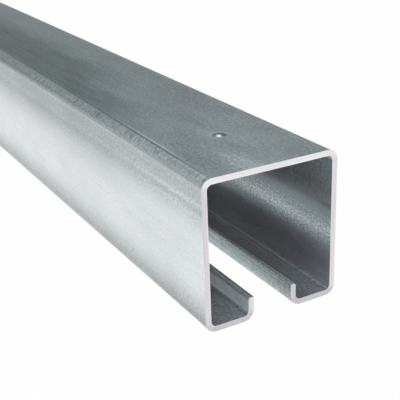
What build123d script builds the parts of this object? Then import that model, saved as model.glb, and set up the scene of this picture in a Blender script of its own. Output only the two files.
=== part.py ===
# A length of roll-formed galvanised steel monorail track.
# One strip of sheet is bent into a box that stays open along the middle of its underside. Beside that
# slot both edges of the strip turn up as lips, which keep trolley wheels on the two bottom flanges.
# The rail lies along X with its slot down, as it rests on a level floor. The origin is midway along
# the rail, at floor level on its centre plane, and Z points up.

import os

from build123d import *

# Driving sizes in millimetres
rail_length = 1000.0
rail_width = 62.5
rail_height = 65.0
sheet = 2.5
bend_inside = 2.25
slot_width = 18.0
lip_height = 10.25

# Slitting the strip rolled over one face of its edge, and that face ended up inside the box
slit_roll = 1.0

# A small round pip is pressed up through the top near one end, a little off the centre plane
pip_width = 5.6
pip_rise = 0.5
pip_blend = 0.5
pip_from_end = 41.0
pip_off_centre = 1.0

# Sizes that follow from the ones above
bend_outside = bend_inside + sheet
half_width = rail_width / 2
half_slot = slot_width / 2
inside_half_width = half_width - sheet
inside_top = rail_height - sheet
lip_back = half_slot + sheet
pip_x = rail_length / 2 - pip_from_end
pip_ball = (pip_width**2 / 4 + pip_rise**2) / (2 * pip_rise)

with BuildPart() as track_rail:
    # Section of the rail at its lower end in X. Sketch X runs across the rail and sketch Y up it
    with BuildSketch(Plane.YZ.offset(-rail_length / 2)) as section:
        with BuildLine():
            # Outer skin of the strip, from the left lip's edge round the box to the right lip's edge
            outer_skin = FilletPolyline(
                (-half_slot, lip_height),
                (-half_slot, 0),
                (-half_width, 0),
                (-half_width, rail_height),
                (half_width, rail_height),
                (half_width, 0),
                (half_slot, 0),
                (half_slot, lip_height),
                radius=bend_outside,
            )
            # Inner skin, one sheet thickness further in, with the same bend centres
            inner_skin = FilletPolyline(
                (-lip_back, lip_height),
                (-lip_back, sheet),
                (-inside_half_width, sheet),
                (-inside_half_width, inside_top),
                (inside_half_width, inside_top),
                (inside_half_width, sheet),
                (lip_back, sheet),
                (lip_back, lip_height),
                radius=bend_inside,
            )
            # The two slit edges of the strip, which are the tops of the lips
            left_slit_edge = Line(outer_skin @ 0, inner_skin @ 0)
            right_slit_edge = Line(outer_skin @ 1, inner_skin @ 1)
        make_face()
        # The roll-over leaves the lips round on their backs and crisp on the slot side
        rolled_corners = section.vertices().filter_by(
            lambda corner: abs(corner.Y - lip_height) < sheet / 4
            and abs(abs(corner.X) - lip_back) < sheet / 4
        )
        fillet(rolled_corners, radius=slit_roll)
    extrude(amount=rail_length)

    # The pip stands up on the top skin, and the same cap is missing from the skin inside the box
    for skin_height, mode in ((rail_height, Mode.ADD), (inside_top, Mode.SUBTRACT)):
        with BuildSketch(Plane.XZ.offset(-pip_off_centre)):
            with Locations((pip_x, skin_height + pip_rise - pip_ball)):
                Circle(pip_ball)
            with Locations((pip_x, skin_height)):
                Rectangle(
                    pip_width / 2,
                    pip_rise,
                    align=(Align.MIN, Align.MIN),
                    mode=Mode.INTERSECT,
                )
        revolve(axis=Axis((pip_x, pip_off_centre, 0), (0, 0, 1)), mode=mode)

    # Pressed metal flows round the foot of the pip and the mouth of its hollow
    pip_rims = (
        track_rail.edges()
        .filter_by(GeomType.CIRCLE)
        .filter_by_position(Axis.X, pip_x - pip_width, pip_x + pip_width)
    )
    fillet(pip_rims, radius=pip_blend)

track_rail.part.label = "track_rail"

os.makedirs("parts", exist_ok=True)
export_step(track_rail.part, "parts/track_rail.step")
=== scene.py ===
"""Finish, studio and camera for a length of galvanised steel monorail track.

The rail lies along X with its slot down, +Z is up, and the end that shows is at +X.
Lengths are in metres, as in Blender, and small ones are a number of millimetres times MM.
The zinc's own places and patterns are all in millimetres.
"""

from functools import partial, reduce

import bpy
from bpy.props import FloatProperty, FloatVectorProperty, PointerProperty
from mathutils import Matrix, Vector


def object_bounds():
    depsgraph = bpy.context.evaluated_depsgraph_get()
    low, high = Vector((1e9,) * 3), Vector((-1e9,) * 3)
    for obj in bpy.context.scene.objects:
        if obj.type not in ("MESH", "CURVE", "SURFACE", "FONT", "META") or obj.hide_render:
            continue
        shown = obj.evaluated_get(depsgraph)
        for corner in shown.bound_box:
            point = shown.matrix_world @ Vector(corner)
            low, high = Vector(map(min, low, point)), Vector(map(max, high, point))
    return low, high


bl_info = {
    "name": "Galvanised Monorail Track",
    "version": (1, 0, 0),
    "blender": (4, 5, 0),
    "location": "View3D > Sidebar > Track",
    "description": "Dresses a length of galvanised box track and sets a studio round it",
    "category": "Object",
}

MM = 0.001
RAIL = "track_rail"

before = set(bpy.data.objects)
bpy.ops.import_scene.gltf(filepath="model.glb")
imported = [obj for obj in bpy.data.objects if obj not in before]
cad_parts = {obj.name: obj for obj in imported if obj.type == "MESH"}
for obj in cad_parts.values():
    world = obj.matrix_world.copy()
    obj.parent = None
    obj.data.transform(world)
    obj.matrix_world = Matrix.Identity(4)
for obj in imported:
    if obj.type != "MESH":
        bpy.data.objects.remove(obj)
FRAME_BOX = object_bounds()

RAIL_END = FRAME_BOX[1].x

# Sizes of the rail and its section in millimetres, as in its source
END = RAIL_END / MM
HALF_WIDTH = 31.25
HEIGHT = 65.0
SHEET = 2.5
HALF_SLOT = 9.0
LIP_HEIGHT = 10.25
# Where the flat edge of a lip ends and its round back begins
LIP_CREST = 10.5
# The pip's middle, back from the cut end and off the centre plane
PIP_BACK = 41.0
PIP_OFF = 1.0

# The camera's lens and sensor in millimetres, and the ways that lie ahead and to the right of it
LENS = 78.256
SENSOR = 36.0
AHEAD = (-0.80929, 0.4419, -0.38701)
RIGHT = (0.49217, 0.86975, -0.03606)

# Each lamp's place from the point of the cut end that it is aimed at, its width, and its tint
LAMPS = {
    "front_lamp": ((2.0, -0.62, 1.38), 1.5, "#fff2f8"),
    "top_lamp": ((-0.79, 0.42, 1.27), 1.0, "#ffffff"),
    "side_lamp": ((-1.9, -1.1, 0.9), 1.2, "#ffffff"),
}
AIM_HEIGHT = 30 * MM
# How far the floor reaches each way, and how much of its paper is seen plain white
FLOOR_REACH = 20.0
PLAIN_WHITE = 0.985

# Inputs and settings of a Mix node that mixes two colours
FROM, TO = 6, 7
COLOURS = {"out": 2, "data_type": "RGBA"}


def linear(hex_colour):
    """The scene-linear colour of an sRGB hex value such as '#8c9a9c'."""
    channels = [int(hex_colour[i : i + 2], 16) / 255 for i in (1, 3, 5)]
    return tuple(
        c / 12.92 if c <= 0.04045 else ((c + 0.055) / 1.055) ** 2.4 for c in channels
    )


def length(name, description, default):
    """A property that holds a length."""
    return FloatProperty(
        name=name, description=description, default=default, min=0, unit="LENGTH"
    )


def colour(name, description, hex_colour):
    """A property that holds a colour."""
    return FloatVectorProperty(
        name=name,
        description=description,
        default=linear(hex_colour),
        subtype="COLOR",
        min=0,
        max=1,
    )


def watts(name, description, default):
    """A property that holds a lamp's power."""
    return FloatProperty(
        name=name, description=description, default=default, min=0, unit="POWER"
    )


class TrackFinish(bpy.types.PropertyGroup):
    """Colours and grain of the rail's steel."""

    # Also the colour of the painted shade on the slot's faces
    rubbed_and_shaded_zinc: colour("Rubbed zinc", "Zinc that the rolls rubbed dark", "#758487")
    inside_zinc: colour("Inside zinc", "Zinc on the inside of the box", "#d9d8dc")
    band_zinc: colour("Band zinc", "Zinc of the brighter band on the inside", "#d5e1e3")
    sawn_steel: colour("Sawn steel", "Bare metal of the cut ends", "#f5f4f6")
    # The colour of the painted shade round the pip
    pip_shade: colour("Grime", "Dirt round the pip", "#33383a")
    sawn_shade: colour("Sawn shade", "The cut ends near the floor", "#c9c7cc")
    # The grain of matt zinc is about half a millimetre wide, and the lines of a fine saw lie closer
    # still. Both are drawn as coarse as they need to be to show
    grain: length("Grain", "Width of one grain of the zinc", 1.2 * MM)
    cloud: length("Cloud", "Width of one cloudy patch in the zinc", 17 * MM)
    wrinkle: length("Wrinkle", "Pitch of the wrinkles across the bends", 1.0 * MM)
    saw_line: length("Saw line", "Pitch of the saw lines on the ends", 0.6 * MM)


class Studio(bpy.types.PropertyGroup):
    """Floor, light and camera."""

    floor: colour("Floor", "Matt white paper", "#f5f5f5")
    room: colour("Room", "Soft grey light from all round", "#979c9d")
    front_lamp: watts("Front lamp", "Watts of the lamp before the end", 22)
    top_lamp: watts("Top lamp", "Watts of the lamp overhead", 2.8)
    side_lamp: watts("Side lamp", "Watts of the lamp beside the rail", 1.4)
    view_from: FloatVectorProperty(
        name="View from",
        description="Where the camera stands",
        default=(RAIL_END + 258.5 * MM, -172.9 * MM, 181.2 * MM),
        subtype="TRANSLATION",
        unit="LENGTH",
    )


def add_node(tree, kind, *inputs, out=0, **settings):
    """Adds a shader node and returns one of its outputs, if it has any.

    The inputs are values or outputs to link, in the node's own order or in a dict by name or
    number. A text before them is the node's operation.
    """
    if inputs and isinstance(inputs[0], str):
        settings["operation"], *inputs = inputs
    node = tree.nodes.new("ShaderNode" + kind)
    for name, value in settings.items():
        setattr(node, name, value)
    keyed = inputs and isinstance(inputs[0], dict)
    for key, value in inputs[0].items() if keyed else enumerate(inputs):
        socket = node.inputs[key]
        if isinstance(value, bpy.types.NodeSocket):
            tree.links.new(value, socket)
        elif socket.type == "RGBA" and len(value) == 3:
            socket.default_value = (*value, 1)
        else:
            socket.default_value = value
    return node.outputs[out] if node.outputs else node


def new_material(name):
    """An empty node material, and the function that adds nodes to it."""
    material = bpy.data.materials.new(name)
    material.use_nodes = True
    material.node_tree.nodes.clear()
    return material, partial(add_node, material.node_tree)


# Colour of the outer skin, zinc with painted reflection in it, by its distance in millimetres from
# the middle of the top, measured round the section: the top, the bend, the wall whose painted
# reflection is brightest below its middle, and the underside
SKIN_WITH_PAINTED_REFLECTION = (
    (0.0, "#b9c4c6"),
    (24.0, "#b9c4c6"),
    (26.0, "#c1ccce"),
    (27.2, "#bcc6c8"),
    (28.0, "#c8d1d3"),
    (28.8, "#d5dee0"),
    (29.7, "#d4dee0"),
    (30.6, "#c1c9cb"),
    (31.5, "#b4bcbe"),
    (32.3, "#b8c0c2"),
    (33.1, "#d0d8d9"),
    (33.9, "#d3dbdd"),
    (34.6, "#bec6c8"),
    (35.3, "#b4bcbe"),
    (37.2, "#afb6b8"),
    (40.0, "#b1b8ba"),
    (42.2, "#b7bec0"),
    (44.2, "#aeb6b8"),
    (46.2, "#b5bcbd"),
    (49.2, "#c6cccd"),
    (52.2, "#d2d8d8"),
    (55.2, "#d9dede"),
    (58.2, "#dde2e2"),
    (64.2, "#e1e6e6"),
    (73.2, "#e3e8e8"),
    (79.2, "#dfe4e4"),
    (82.2, "#d6dcdd"),
    (86.2, "#c5cbcc"),
    (88.2, "#bbc2c3"),
    (90.2, "#aeb5b7"),
    (93.0, "#aab1b3"),
    (100.0, "#c1c7c8"),
)

# Lighter and darker patches that show in the zinc near the cut end. Each has its place back from
# the end, its place round the section from the middle of the top, half its length, half its
# width, and how bright it is beside its surroundings. Minus is towards -Y
PATCHES = (
    (6, -8, 17, 7, 1.3),
    (46, -2, 8, 5, 1.12),
    (24, -19.5, 20, 9, 0.86),
    (28, 5, 12, 6, 1.15),
    (8, 19, 16, 9, 0.91),
    (55, 21, 14, 6, 1.1),
    (72, 2, 16, 7, 0.88),
    (104, -2, 14, 5, 1.12),
    (24, -42.2, 50, 1.5, 1.13),
    (15, -46.4, 45, 1.6, 1.08),
    (8, -92.5, 45, 2.5, 0.82),
)


class RailSurface:
    """Places on the rail in millimetres, masks of its parts, and ways to draw its patterns.

    A mask is 1 on its part of the rail and 0 elsewhere.
    """

    def __init__(self, add):
        self.add = add
        self.place = add("VectorMath", "SCALE", {0: add("TexCoord", out="Object"), "Scale": 1 / MM})
        self.x, self.y, self.z = (add("SeparateXYZ", self.place, out=axis) for axis in "XYZ")
        self.across = add("Math", "ABSOLUTE", self.y)
        # How far a place is from the cut end that shows, and from the end that is nearer to it
        self.back = add("Math", "SUBTRACT", END, self.x)
        self.end_gap = add("Math", "SUBTRACT", END, add("Math", "ABSOLUTE", self.x))
        # How far it is from the middle of the top, measured round the section
        self.upper = add("Math", "GREATER_THAN", self.z, HEIGHT / 2)
        from_wall = add("Math", "SUBTRACT", 2 * HALF_WIDTH, self.across)
        self.girth = add(
            "Math",
            "ADD",
            add("Math", "SUBTRACT", HEIGHT, self.z),
            add("Mix", {0: self.upper, 2: from_wall, 3: self.across}),
        )

        # The sawn ends, the flat top, the upper bends, and the skin inside the box
        facing = add("SeparateXYZ", add("NewGeometry", out="True Normal"), out="X")
        self.sawn = add("Math", "GREATER_THAN", add("Math", "ABSOLUTE", facing), 0.95)
        self.on_top = add("Math", "GREATER_THAN", self.z, HEIGHT - 0.05)
        self.on_bend = self.overlap(
            self.fade(self.girth, 26.6, 27.4), self.fade(self.girth, 32.0, 30.6)
        )
        within_floor_and_top = self.overlap(
            add("Math", "GREATER_THAN", self.z, SHEET - 0.1),
            add("Math", "LESS_THAN", self.z, HEIGHT - SHEET + 0.1),
        )
        self.inside = self.overlap(
            add("Math", "LESS_THAN", self.across, HALF_WIDTH - SHEET + 0.15),
            within_floor_and_top,
        )
        # The faces of the slot, and all of the inside but for them
        self.slot_face = self.overlap(
            add("Math", "LESS_THAN", self.across, LIP_CREST),
            add("Math", "LESS_THAN", self.z, LIP_HEIGHT - 0.1),
        )
        self.boxed = self.overlap(self.inside, add("Math", "SUBTRACT", 1.0, self.slot_face))
        # The brighter band that runs along each wall on the inside, and all but that
        self.band = self.overlap(self.fade(self.z, 21, 26), self.fade(self.z, 42, 39.5))
        self.off_band = add("Math", "SUBTRACT", 1.0, self.band)
        # The lips: their edges, the round back of the edge at +Y, and their backs. The ceiling over
        # the slot, which hardly shows, is taken in with the edges
        self.lip_edge = add("Math", "GREATER_THAN", self.z, LIP_HEIGHT - 0.1)
        self.lip_round = self.overlap(
            self.fade(self.y, 10.3, 10.8),
            self.fade(self.y, 13.0, 12.0),
            self.fade(self.z, 9.5, 9.9),
        )
        lip_back = self.overlap(
            self.fade(self.across, 13.2, 12.2), self.fade(self.across, 10.4, 11.0), self.inside
        )
        self.lip_back = self.overlap(
            lip_back,
            self.overlap(self.fade(self.z, 2.6, 4.3, 0.05, 0.85), self.fade(self.z, 10.2, 8.4)),
        )

    def overlap(self, *masks):
        """Where all of the masks hold, which is their product."""
        return reduce(partial(self.add, "Math", "MULTIPLY"), masks)

    def fade(self, value, start, end, at_start=0.0, at_end=1.0):
        """Goes softly from at_start to at_end while a value goes from start to end.

        Start may be the larger of the two, and each of the four may be a value that varies.
        """
        return self.add(
            "MapRange", value, start, end, at_start, at_end, interpolation_type="SMOOTHSTEP"
        )

    def near(self, value, middle, reach, full, gain=1.0):
        """Rises from nothing at one distance from a middle to the gain at a smaller distance."""
        distance = self.add("Math", "ABSOLUTE", self.add("Math", "SUBTRACT", value, middle))
        return self.fade(distance, reach, full, 0.0, gain)

    def cloudy(self, along, width, low, high, detail=2.0, height=None, where=None):
        """Noise as long and wide as given, turned into a factor from low to high."""
        size = (1 / along, 1 / width, 1 / (height or width))
        spread = self.add("VectorMath", "MULTIPLY", where or self.place, size)
        noise = self.add("TexNoise", {"Vector": spread, "Scale": 1.0, "Detail": detail})
        return self.add("MapRange", noise, 0.25, 0.75, low, high)


def outer_skin_with_painted_reflection(rail):
    """Colour of the zinc outside with its painted reflections, by its distance round the section.
    """
    reach = SKIN_WITH_PAINTED_REFLECTION[-1][0]
    skin = rail.add("ValToRGB", rail.add("Math", "DIVIDE", rail.girth, reach))
    stops = skin.node.color_ramp.elements
    while len(stops) < len(SKIN_WITH_PAINTED_REFLECTION):
        stops.new(1.0)
    for stop, (distance, hex_colour) in zip(stops, SKIN_WITH_PAINTED_REFLECTION):
        stop.position = distance / reach
        stop.color = (*linear(hex_colour), 1)
    return skin


def inner_skin(rail, look):
    """Colour of the zinc inside, which is greener along the band, the lips' backs and the floor."""
    add, fade, z = rail.add, rail.fade, rail.z
    floor = add("Math", "MAXIMUM", fade(z, 5, 3), fade(rail.across, 14.0, 12.5))
    greener = rail.overlap(floor, fade(rail.end_gap, 70, 10, 0.2, 0.7))
    for part in (
        fade(z, 37, 40, 0.0, 0.35),
        rail.overlap(fade(z, 18, 23), fade(z, 41, 39)),
        add("Math", "MAXIMUM", rail.band, rail.lip_back),
    ):
        greener = add("Math", "MAXIMUM", greener, part)
    return add("Mix", {0: greener, FROM: look.inside_zinc, TO: look.band_zinc}, **COLOURS)


def rub_marks_and_highlight(rail):
    """What the rolls left on the top and the upper bend as a dark mask, and a painted highlight as
    a bright one.
    """
    add, fade, overlap, cloudy = rail.add, rail.fade, rail.overlap, rail.cloudy
    # Dark strips along the top, with ragged sides, that fade out towards the cut end
    ragged = cloudy(45, 3, -5, 5, 5.0)
    ragged_back = add("Math", "ADD", rail.back, add("Math", "MULTIPLY", ragged, 3.0))
    ragged_side = add("Math", "ADD", rail.y, ragged)
    strip = add(
        "Math",
        "MAXIMUM",
        overlap(fade(ragged_side, -8, -15), fade(ragged_back, 56, 156)),
        overlap(fade(ragged_side, 16, -4), fade(ragged_back, 115, 190)),
    )
    # The thin dark line that the edge of a roll pressed along one bend, at a small slant
    off_line = add(
        "Math", "MULTIPLY_ADD", rail.back, -0.0128, add("Math", "ADD", rail.y, 27.1)
    )
    roll_line = overlap(
        rail.near(off_line, 0.0, 0.5, 0.2), fade(ragged_back, 15, 50, 0.25, 1.0), rail.upper
    )
    strip = overlap(strip, rail.on_top, fade(off_line, -0.6, 0.1), cloudy(60, 1.5, 0.6, 1.0, 3.0))
    # A painted highlight beside the dark line
    painted_highlight_line = overlap(
        rail.near(off_line, 1.1, 0.6, 0.3),
        rail.upper,
        overlap(fade(rail.back, 15, 40), fade(rail.back, 110, 60, 0.25, 1.0)),
    )
    return add("Math", "MAXIMUM", strip, roll_line), painted_highlight_line


def painted_slot_shade(rail):
    """Mask of painted shade on the slot's faces, in streaks along the rail."""
    return rail.overlap(
        rail.overlap(
            rail.slot_face,
            rail.fade(rail.z, 3.0, 8.0, 0.6, 1.0),
            rail.fade(rail.back, 5, 50, 1.1, 0.98),
        ),
        rail.cloudy(120, 0.5, 0.35, 1.15, 2.0),
    )


def near_end_lift(rail):
    """How much brighter the skin is towards the cut end, most of all on the bend."""
    add, fade, overlap, girth = rail.add, rail.fade, rail.overlap, rail.girth
    wall = overlap(fade(girth, 64, 50), fade(girth, 34.2, 35.6, 0.0, 0.13))
    bend = overlap(fade(girth, 33, 31.5), fade(girth, 28, 30.5, 0.0, 0.16))
    top = fade(girth, 27, 26, 0.0, 0.08)
    lift = add("Math", "ADD", add("Math", "ADD", wall, bend), top)
    return overlap(lift, fade(rail.back, 10, 120, 1.0, -0.9))


def inner_painted_light(rail):
    """How much painted light and shade brighten or dull each part of the inside beside its colour.
    """
    add, fade, near, overlap = rail.add, rail.fade, rail.near, rail.overlap
    across, y, z, end_gap = rail.across, rail.y, rail.z, rail.end_gap

    # Painted light near the ends and again far in, with painted shade between, but not on the band
    falls_to = add("Math", "ADD", fade(z, 3, 5, -0.3, -0.08), fade(z, 30, 45, 0.0, -0.22))
    deep = add(
        "Math",
        "ADD",
        fade(end_gap, -10, fade(z, 3, 5, 40, 22), fade(z, 30, 45, 0.28, 0.36), falls_to),
        overlap(fade(end_gap, 50, 100), fade(z, 45, 30, 0.0, fade(z, 3, 5, 0.18, 0.65))),
    )
    gain = overlap(rail.off_band, deep)

    floor = fade(z, 4.6, 3.0)
    beside_bend = overlap(fade(across, 24, 26), fade(across, 27.0, 26.4))
    bend_foot = overlap(fade(across, 26.4, 27.0), fade(across, 27.9, 27.5))
    bend_middle = overlap(fade(across, 27.3, 28.2), fade(z, 3.9, 3.3))
    lip_flat = overlap(rail.lip_edge, add("Math", "LESS_THAN", across, LIP_CREST))
    for part, amount in (
        # Painted light and shade that shape the band: its upper edge, its middle, the wall above
        # and below it, and its lower edge
        (rail.band, fade(z, 40.5, 37.5, -0.35, -0.1)),
        (near(z, 28.0, 3.5, 0.5), 0.2),
        (near(z, 45.0, 6.0, 1.0), -0.12),
        (fade(z, 22, 16), 0.05),
        (overlap(rail.band, fade(z, 27, 23)), fade(end_gap, 20, 50, 0.0, -0.15)),
        # Painted light on the backs of the lips
        (rail.lip_back, fade(end_gap, 2, 24, -0.25, 0.65)),
        # Painted shade on the floor from the lip to the bend and at the bend's foot, and painted
        # light at the bend's middle
        (floor, fade(across, 14, 22, -0.42, -0.01)),
        (overlap(floor, beside_bend), fade(end_gap, 8, 20, -0.2, 0.1)),
        (overlap(floor, bend_foot), -0.3),
        (bend_middle, fade(end_gap, 55, 25, 0.4, 0.7)),
        # Painted shade in the upper corners
        (fade(add("Math", "ADD", across, z), 89.3, 89.9), -0.5),
        # Painted light on the edges of the lips, with a painted highlight and a line of painted
        # shade along the one at -Y, and painted light on the round back of the one at +Y
        (lip_flat, fade(y, -1, 1, 0.3, 0.45)),
        (rail.lip_round, fade(end_gap, 50, 5, 0.15, 1.1)),
        (overlap(rail.lip_edge, near(y, -10.4, 0.35, 0.1)), 0.45),
        (overlap(rail.lip_edge, near(y, -9.6, 0.35, 0.1)), -0.25),
    ):
        gain = add("Math", "MULTIPLY_ADD", part, amount, gain)
    gain = overlap(gain, rail.boxed)

    # Slitting and the rolls left fine lines along the faces of the slot, at a small slant, and the
    # faces get painted shade towards their top
    rising = add("Math", "MULTIPLY_ADD", rail.back, -0.035, z)
    for amount in (
        near(rising, 5.4, 0.8, 0.1, 0.1),
        near(rising, 7.15, 0.7, 0.1, -0.16),
        fade(z, 8.9, 10.0, 0.0, -0.6),
    ):
        gain = add("Math", "MULTIPLY_ADD", rail.slot_face, amount, gain)
    return gain


def grain_depth(rail, zinc):
    """How strongly the grain shows: most on dark zinc, and inside on the upper walls and floor."""
    add, fade, z = rail.add, rail.fade, rail.z
    depth = add(
        "Math",
        "ADD",
        fade(add("RGBToBW", zinc), 0.48, 0.7, 0.26, 0.08),
        add("Math", "MULTIPLY", fade(rail.girth, 36, 26), 0.08),
    )
    upper_wall = rail.overlap(rail.inside, fade(z, 40, 43))
    depth = add("Math", "MULTIPLY_ADD", upper_wall, 0.16, depth)
    floor = rail.overlap(fade(z, 4.5, 3.0), fade(rail.end_gap, 60, 5, 0.0, 0.28))
    return add("Math", "MULTIPLY_ADD", rail.inside, floor, depth)


def speckle_depth(rail):
    """How strongly the sharper speckle shows along the band and on the floor of the box."""
    fade, z = rail.fade, rail.z
    band = rail.overlap(fade(z, 18, 25), fade(z, 37, 30, 0.2, 1.0))
    speckle = rail.add("Math", "MAXIMUM", band, fade(z, 5, 3, 0.0, 0.3))
    return rail.overlap(rail.inside, speckle, 0.6)


def greenness(rail):
    """How much red the inside lacks: on the lips, beside the walls, and away from the ends."""
    add, fade, overlap, end_gap = rail.add, rail.fade, rail.overlap, rail.end_gap
    green = overlap(
        rail.inside,
        rail.off_band,
        add("Math", "MULTIPLY_ADD", rail.slot_face, 0.05, 0.022),
        fade(end_gap, 15, 45),
    )
    beside_wall = overlap(rail.inside, fade(rail.across, 23, 26), fade(rail.z, 4.2, 3.4))
    lip_crest = add("Math", "MAXIMUM", rail.lip_round, rail.lip_edge)
    for part, amount in (
        (beside_wall, fade(end_gap, 45, 15, 0.0, 0.07)),
        (lip_crest, overlap(rail.boxed, fade(rail.z, 12, 11, 0.0, 0.07))),
        (rail.lip_back, 0.045),
    ):
        green = add("Math", "MULTIPLY_ADD", part, amount, green)
    return green


def patched(rail, zinc):
    """The zinc with its lighter and darker patches near the cut end."""
    add = rail.add
    side = add("Math", "SIGN", rail.y)
    sided_girth = add("Math", "MULTIPLY", rail.girth, side)
    ragged = rail.cloudy(5, 1.6, -0.4, 0.4, 3.0)
    for back, girth, half_length, half_width, gain in PATCHES:
        away = add(
            "CombineXYZ",
            add("Math", "DIVIDE", add("Math", "SUBTRACT", rail.back, back), half_length),
            add("Math", "DIVIDE", add("Math", "SUBTRACT", sided_girth, girth), half_width),
        )
        reach = add("Math", "ADD", add("VectorMath", "LENGTH", away, out="Value"), ragged)
        patch = rail.fade(reach, 1.1, 0.3, 1.0, gain)
        zinc = add("VectorMath", "MULTIPLY", zinc, add("CombineXYZ", patch, patch, patch))
    return zinc


def pip_shade_and_highlight(rail, look, zinc):
    """The zinc with painted highlights on the pip's crown and rim, and painted shade round it."""
    add, fade, overlap = rail.add, rail.fade, rail.overlap
    off_pip = add(
        "CombineXYZ",
        add("Math", "SUBTRACT", PIP_BACK, rail.back),
        add("Math", "SUBTRACT", rail.y, PIP_OFF),
    )
    # A painted highlight on the crown's side towards the cut end and -Y, in a spot longer than wide
    along, beside = (
        add("VectorMath", "DOT_PRODUCT", off_pip, way, out="Value")
        for way in ((0.88, -0.48, 0.0), (0.48, 0.88, 0.0))
    )
    off_crown = add(
        "CombineXYZ",
        add("Math", "MULTIPLY_ADD", along, 1 / 1.4, -0.95),
        add("Math", "MULTIPLY_ADD", beside, 1 / 1.1, 0.3),
    )
    off_crown = add("VectorMath", "LENGTH", off_crown, out="Value")
    off_middle = add("VectorMath", "LENGTH", off_pip, out="Value")
    on_pip = overlap(rail.on_top, fade(off_middle, 3.3, 2.9))
    painted_pip_shade = overlap(
        fade(off_crown, 0.85, 1.25), fade(along, 2.7, 1.9), fade(beside, -2.0, 1.5, 0.5, 0.7)
    )
    zinc = add("Mix", {0: overlap(painted_pip_shade, on_pip), FROM: zinc, TO: look.pip_shade}, **COLOURS)
    crown = overlap(on_pip, fade(off_crown, 1.0, 0.4, 0.0, 0.75))
    # A fainter painted highlight round the rim, on its side away from the cut end
    rim = overlap(fade(off_middle, 5.8, 4.0), fade(off_middle, 2.9, 3.4), fade(along, 1.5, -1.0))
    rim = overlap(rim, 0.3, rail.on_top)
    bright = add("Math", "MAXIMUM", crown, rim)
    return add("Mix", {0: bright, FROM: zinc, TO: (1, 1, 1)}, **COLOURS)


def sawn_end(rail, look):
    """Bare steel where the rail was sawn and dressed.

    Its fine lines follow the edges of the sheet, but run upright on the bottom flanges, which are
    in painted shade.
    """
    add, fade, across, y, z = rail.add, rail.fade, rail.across, rail.y, rail.z
    # How deep a place lies in the sheet. The lips' own skin counts no higher than just above them
    beyond_lip = fade(z, 11, 13, 0.0, 100.0)
    in_lip = add("Math", "ADD", add("Math", "SUBTRACT", across, HALF_SLOT), beyond_lip)
    depth = add(
        "Math",
        "MINIMUM",
        add(
            "Math",
            "MINIMUM",
            add("Math", "SUBTRACT", HEIGHT, z),
            add("Math", "SUBTRACT", HALF_WIDTH, across),
        ),
        add("Math", "MINIMUM", z, in_lip),
    )
    saw_line = look.saw_line / MM
    unrolled = add("CombineXYZ", depth, y, z)
    along_edges = rail.cloudy(saw_line, 20, -0.35, 0.35, 3.0, where=unrolled)
    upright = rail.cloudy(100, saw_line, -0.35, 0.35, 3.0, height=14)
    # How bright each part of the end is, from -Y to +Y, then with painted shade on the
    # bottom flanges and painted light at the top
    end_brightness = fade(y, -24, -16, 0.38, 0.68)
    end_brightness = fade(y, -4, 4, end_brightness, 0.3)
    end_brightness = fade(y, 16, 24, end_brightness, 0.62)
    end_brightness = fade(z, 2.4, 4.2, add("Math", "MULTIPLY", end_brightness, 0.15), end_brightness)
    end_brightness = fade(z, 60, 63.5, end_brightness, 0.9)
    # A painted highlight along the inner edge of the wall at -Y
    inner_edge_highlight = rail.overlap(fade(depth, 1.6, 2.3), fade(y, -20, -28, 0.0, 0.25))
    end_brightness = add("Math", "ADD", end_brightness, inner_edge_highlight)
    end_brightness = add("Math", "ADD", end_brightness, fade(z, 5, 10, upright, along_edges))
    return add("Mix", {0: end_brightness, FROM: look.sawn_shade, TO: look.sawn_steel}, **COLOURS)


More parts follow.
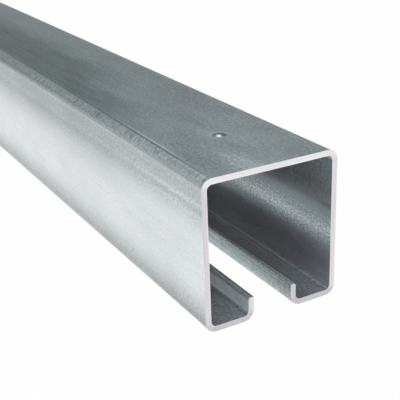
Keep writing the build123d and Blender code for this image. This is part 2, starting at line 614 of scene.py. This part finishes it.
def rolled_zinc(look):
    """Hot-dip zinc on sheet that was formed in rolls.

    The eye sees a soft satin metal under a thin milky oxide film. It is grainy close up and
    cloudy from further off, with rub marks and streaks along the rail where it ran through the
    rolls, fine wrinkles across the bends and bright bare metal where it was sawn.
    """
    material, add = new_material("hot_dip_zinc_rolled")
    rail = RailSurface(add)
    fade, overlap, cloudy = rail.fade, rail.overlap, rail.cloudy
    cloud = look.cloud / MM
    grain = look.grain / MM

    # The colours of the two skins, the marks that the rolls left on them and the painted shade on
    # the slot's faces
    rubbed, painted_highlight_line = rub_marks_and_highlight(rail)
    skins = {0: rail.inside, FROM: outer_skin_with_painted_reflection(rail), TO: inner_skin(rail, look)}
    zinc = add("Mix", skins, **COLOURS)
    for marks in (rubbed, painted_slot_shade(rail)):
        zinc = add("Mix", {0: marks, FROM: zinc, TO: look.rubbed_and_shaded_zinc}, **COLOURS)

    # Cloudy patches, streaks along the rail, the grain of the zinc and the wrinkles on the bends,
    # whose shade is painted into the colour as well as drawn as bump
    grains = cloudy(grain, grain, -1.0, 1.0, 2.0)
    sparkle = cloudy(grain * 1.1, grain * 0.6, -1.0, 1.0, 2.0)
    slanted = add(
        "CombineXYZ", add("Math", "MULTIPLY_ADD", rail.girth, -0.25, rail.x), rail.y, rail.z
    )
    wrinkles = overlap(
        cloudy(look.wrinkle / MM, 3.0, -1.0, 1.0, 3.0, where=slanted),
        cloudy(6, 2.5, 0.0, 1.25, 2.0),
        rail.on_bend,
    )
    shade = add(
        "Math",
        "MULTIPLY_ADD",
        cloudy(cloud * 1.5, cloud, -0.1, 0.1, 3.0),
        fade(rail.girth, 27, 36, 1.0, 0.5),
        1.0,
    )
    # Brighter towards the cut end outside, and painted light and shade on the inside
    gain = add("Math", "ADD", near_end_lift(rail), inner_painted_light(rail))
    for layer in (
        # The backs of the lips get more painted light on top of that
        add("Math", "ADD", gain, add("Math", "ADD", rail.lip_back, 1.0)),
        add("Math", "MULTIPLY_ADD", painted_highlight_line, 0.45, 1.0),
        cloudy(40, 1.6, 0.97, 1.03, 2.0),
        add("Math", "MULTIPLY_ADD", grains, grain_depth(rail, zinc), 1.0),
        add("Math", "MULTIPLY_ADD", sparkle, speckle_depth(rail), 1.0),
        add("Math", "MULTIPLY_ADD", wrinkles, 0.62, 1.0),
    ):
        shade = overlap(shade, layer)
    red = overlap(shade, add("Math", "SUBTRACT", 1.0, greenness(rail)))
    blue = overlap(shade, add("Math", "MULTIPLY_ADD", rail.lip_back, -0.045, 1.0))
    zinc = add("VectorMath", "MULTIPLY", zinc, add("CombineXYZ", red, shade, blue))

    zinc = pip_shade_and_highlight(rail, look, patched(rail, zinc))
    metal = add("Mix", {0: rail.sawn, FROM: zinc, TO: sawn_end(rail, look)}, **COLOURS)

    height = add(
        "Math",
        "ADD",
        overlap(grains, add("Math", "MULTIPLY_ADD", rail.inside, 0.004, 0.004)),
        add("Math", "MULTIPLY", wrinkles, 0.015),
    )
    bump = add("Bump", {"Height": height, "Distance": MM, "Strength": 1.0})

    # The oxide film takes a little off the metal's share, and more low on the inside near the ends
    low_inside = overlap(rail.inside, fade(rail.across, 28.6, 27.0))
    film = add(
        "Math",
        "MULTIPLY_ADD",
        overlap(rail.lip_round, rail.inside),
        fade(rail.end_gap, 50, 5, 0.04, 0.32),
        add("Math", "MULTIPLY", rail.lip_back, 0.25),
    )
    film = add(
        "Math",
        "MULTIPLY_ADD",
        low_inside,
        overlap(fade(rail.z, 14, 9), fade(rail.end_gap, 110, 70, 0.0, 0.17)),
        film,
    )
    surface = add(
        "BsdfPrincipled",
        {
            "Base Color": metal,
            "Metallic": add("Math", "SUBTRACT", cloudy(cloud, cloud, 0.83, 0.91), film),
            "Roughness": cloudy(cloud * 2, cloud, 0.24, 0.32),
            "Normal": bump,
        },
    )
    add("OutputMaterial", surface)
    return material


class TRACK_OT_dress_rail(bpy.types.Operator):
    """Gives the rail its zinc skins and sawn ends"""

    bl_idname = "track.dress_rail"
    bl_label = "Dress Rail"

    def execute(self, context):
        zinc = rolled_zinc(context.scene.track_finish)
        for material_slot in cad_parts[RAIL].material_slots:
            material_slot.material = zinc
        return {"FINISHED"}


def white_paper(studio):
    """Matt white seamless paper.

    The eye and the metal see it plain white. A small share of its own shading is kept for the
    rail's shadow.
    """
    material, add = new_material("matt_white_paper")
    seen = 0.0
    for ray in ("Is Camera Ray", "Is Glossy Ray", "Is Transmission Ray"):
        seen = add("Math", "MAXIMUM", seen, add("LightPath", out=ray))
    share = add("Math", "MULTIPLY", seen, PLAIN_WHITE)
    paper = add("BsdfDiffuse", {"Color": studio.floor})
    glow = add("Emission", {"Color": (1, 1, 1), "Strength": 1.0})
    add("OutputMaterial", add("MixShader", share, paper, glow))
    return material


def add_lamp(name, place, aim, size, power, tint):
    """A square soft lamp that shines from a place at a point."""
    lamp = bpy.data.lights.new(name, "AREA")
    lamp.color = linear(tint)
    lamp.size = size
    lamp.energy = power
    holder = bpy.data.objects.new(name, lamp)
    holder.location = place
    holder.rotation_euler = (aim - place).to_track_quat("-Z", "Y").to_euler()
    bpy.context.scene.collection.objects.link(holder)


class TRACK_OT_set_studio(bpy.types.Operator):
    """Lays the floor and sets the lamps, the room's light and the camera"""

    bl_idname = "track.set_studio"
    bl_label = "Set Studio"

    def execute(self, context):
        scene = context.scene
        studio = scene.track_studio

        mesh = bpy.data.meshes.new("floor")
        corners = [
            (x * FLOOR_REACH, y * FLOOR_REACH, 0)
            for x, y in ((-1, -1), (1, -1), (1, 1), (-1, 1))
        ]
        mesh.from_pydata(corners, [], [(0, 1, 2, 3)])
        mesh.materials.append(white_paper(studio))
        floor = bpy.data.objects.new("floor", mesh)
        scene.collection.objects.link(floor)

        aim = Vector((RAIL_END, 0, AIM_HEIGHT))
        for name, (from_aim, size, tint) in LAMPS.items():
            add_lamp(name, aim + Vector(from_aim), aim, size, getattr(studio, name), tint)

        world = bpy.data.worlds.new("room")
        world.use_nodes = True
        world.node_tree.nodes.clear()
        add = partial(add_node, world.node_tree)
        add("OutputWorld", add("Background", {"Color": studio.room, "Strength": 1.0}))
        scene.world = world

        lens = bpy.data.cameras.new("camera")
        lens.sensor_width = SENSOR
        lens.lens = LENS
        camera = bpy.data.objects.new("camera", lens)
        forward = Vector(AHEAD).normalized()
        right = Vector(RIGHT).normalized()
        up = right.cross(forward)
        turn = Matrix((right, up, -forward)).transposed().to_4x4()
        camera.matrix_world = Matrix.Translation(studio.view_from) @ turn
        scene.collection.objects.link(camera)
        scene.camera = camera

        scene.view_settings.view_transform = "Standard"
        return {"FINISHED"}


class TRACK_PT_panel(bpy.types.Panel):
    """Lists the steps and their settings"""

    bl_idname = "TRACK_PT_panel"
    bl_label = "Monorail Track"
    bl_space_type = "VIEW_3D"
    bl_region_type = "UI"
    bl_category = "Track"

    def draw(self, context):
        for group in (context.scene.track_finish, context.scene.track_studio):
            for name in group.__annotations__:
                self.layout.prop(group, name)
        self.layout.operator(TRACK_OT_dress_rail.bl_idname)
        self.layout.operator(TRACK_OT_set_studio.bl_idname)


CLASSES = (
    TrackFinish,
    Studio,
    TRACK_OT_dress_rail,
    TRACK_OT_set_studio,
    TRACK_PT_panel,
)


def register():
    for cls in CLASSES:
        bpy.utils.register_class(cls)
    bpy.types.Scene.track_finish = PointerProperty(type=TrackFinish)
    bpy.types.Scene.track_studio = PointerProperty(type=Studio)


def unregister():
    del bpy.types.Scene.track_studio
    del bpy.types.Scene.track_finish
    for cls in reversed(CLASSES):
        bpy.utils.unregister_class(cls)


def main():
    register()
    bpy.ops.track.dress_rail()
    bpy.ops.track.set_studio()


if __name__ == "__main__":
    main()
